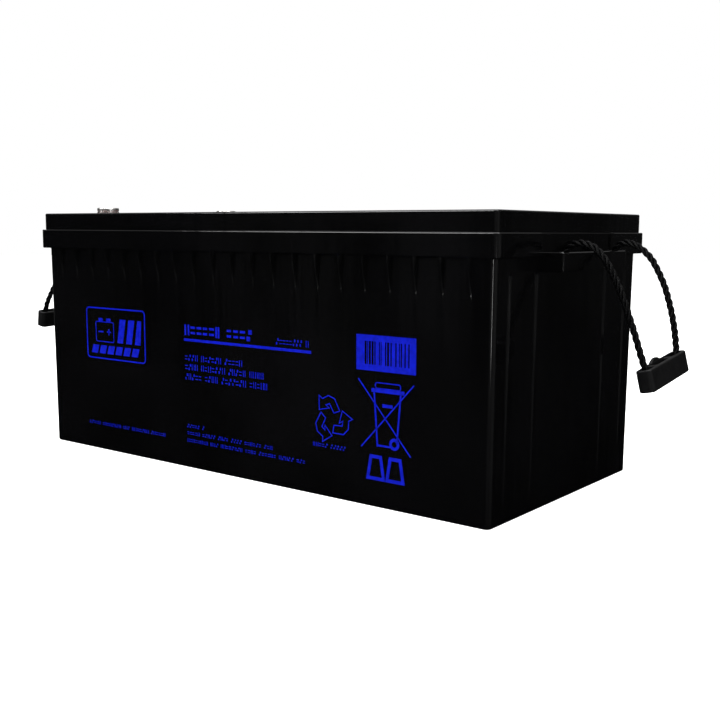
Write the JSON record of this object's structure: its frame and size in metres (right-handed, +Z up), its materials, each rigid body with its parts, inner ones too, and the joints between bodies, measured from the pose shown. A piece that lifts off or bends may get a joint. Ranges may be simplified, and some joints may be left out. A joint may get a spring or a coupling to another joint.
{
  "type": "deep cycle battery",
  "caption": "Sealed lead-acid block battery: long glossy case with a flanged rim, bonded cover, screw-in terminals and a rope handle with a grip at each end.",
  "frame": {"origin": "middle of the container's base, on the surface it stands on", "axes": "+X along the case towards the end without terminals, +Y from the printed long side to the other one, +Z up"},
  "size_m": [0.6509, 0.24, 0.2225],
  "materials": {
    "case_plastic": "glossy moulded ABS",
    "grip_plastic": "satin moulded plastic",
    "rope_fibre": "twisted three-strand rope",
    "rubber": "matte",
    "epoxy": "cured bead",
    "terminal_metal": "tin-plated, turned",
    "lead": "dull cast",
    "positive_paste": "dry paste",
    "glass_mat": "pressed glass fibre",
    "resin_red": "poured resin",
    "resin_black": "poured resin",
    "print_blue": "screen-printed ink"
  },
  "bodies": {
    "root": {"container": "case_plastic", "right_rope_ledge": "case_plastic", "left_rope_ledge": "case_plastic", "cover": "case_plastic", "cover_sealant": "epoxy", "vent_strip_front": "case_plastic", "vent_strip_rear": "case_plastic", "positive_terminal": "terminal_metal", "negative_terminal": "terminal_metal", "positive_post": "lead", "negative_post": "lead", "positive_o_ring": "rubber", "negative_o_ring": "rubber", "positive_resin_ring": "resin_red", "negative_resin_ring": "resin_black", "positive_plates_1": "positive_paste", "positive_plates_2": "positive_paste", "positive_plates_3": "positive_paste", "positive_plates_4": "positive_paste", "positive_plates_5": "positive_paste", "positive_plates_6": "positive_paste", "negative_plates_1": "lead", "negative_plates_2": "lead", "negative_plates_3": "lead", "negative_plates_4": "lead", "negative_plates_5": "lead", "negative_plates_6": "lead", "separators_1": "glass_mat", "separators_2": "glass_mat", "separators_3": "glass_mat", "separators_4": "glass_mat", "separators_5": "glass_mat", "separators_6": "glass_mat", "positive_end_strap": "lead", "negative_end_strap": "lead", "cell_link_1": "lead", "cell_link_2": "lead", "cell_link_3": "lead", "cell_link_4": "lead", "cell_link_5": "lead", "right_rope_knots": "rope_fibre", "left_rope_knots": "rope_fibre"},
    "right_handle": {"right_rope": "rope_fibre", "right_grip": "grip_plastic"},
    "left_handle": {"left_rope": "rope_fibre", "left_grip": "grip_plastic"},
    "valve_1": {"valve_cap_1": "rubber"},
    "valve_2": {"valve_cap_2": "rubber"},
    "valve_3": {"valve_cap_3": "rubber"},
    "valve_4": {"valve_cap_4": "rubber"},
    "valve_5": {"valve_cap_5": "rubber"},
    "valve_6": {"valve_cap_6": "rubber"}
  },
  "joints": [
    {"name": "right_handle_swing", "type": "hinge", "parent": "root", "child": "right_handle", "pos_m": [0.2593, 0, 0.192], "axis": [0, -1, 0], "range_deg": [-34, 120]},
    {"name": "left_handle_swing", "type": "hinge", "parent": "root", "child": "left_handle", "pos_m": [-0.2593, 0, 0.192], "axis": [0, 1, 0], "range_deg": [-34, 120]},
    {"name": "valve_lift_1", "type": "slide", "parent": "root", "child": "valve_1", "axis": [0, 0, 1], "range_m": [0, 0.0008], "stiffness_N_per_m": 2000, "springref_m": -0.0006},
    {"name": "valve_lift_2", "type": "slide", "parent": "root", "child": "valve_2", "axis": [0, 0, 1], "range_m": [0, 0.0008], "stiffness_N_per_m": 2000, "springref_m": -0.0006},
    {"name": "valve_lift_3", "type": "slide", "parent": "root", "child": "valve_3", "axis": [0, 0, 1], "range_m": [0, 0.0008], "stiffness_N_per_m": 2000, "springref_m": -0.0006},
    {"name": "valve_lift_4", "type": "slide", "parent": "root", "child": "valve_4", "axis": [0, 0, 1], "range_m": [0, 0.0008], "stiffness_N_per_m": 2000, "springref_m": -0.0006},
    {"name": "valve_lift_5", "type": "slide", "parent": "root", "child": "valve_5", "axis": [0, 0, 1], "range_m": [0, 0.0008], "stiffness_N_per_m": 2000, "springref_m": -0.0006},
    {"name": "valve_lift_6", "type": "slide", "parent": "root", "child": "valve_6", "axis": [0, 0, 1], "range_m": [0, 0.0008], "stiffness_N_per_m": 2000, "springref_m": -0.0006}
  ]
}
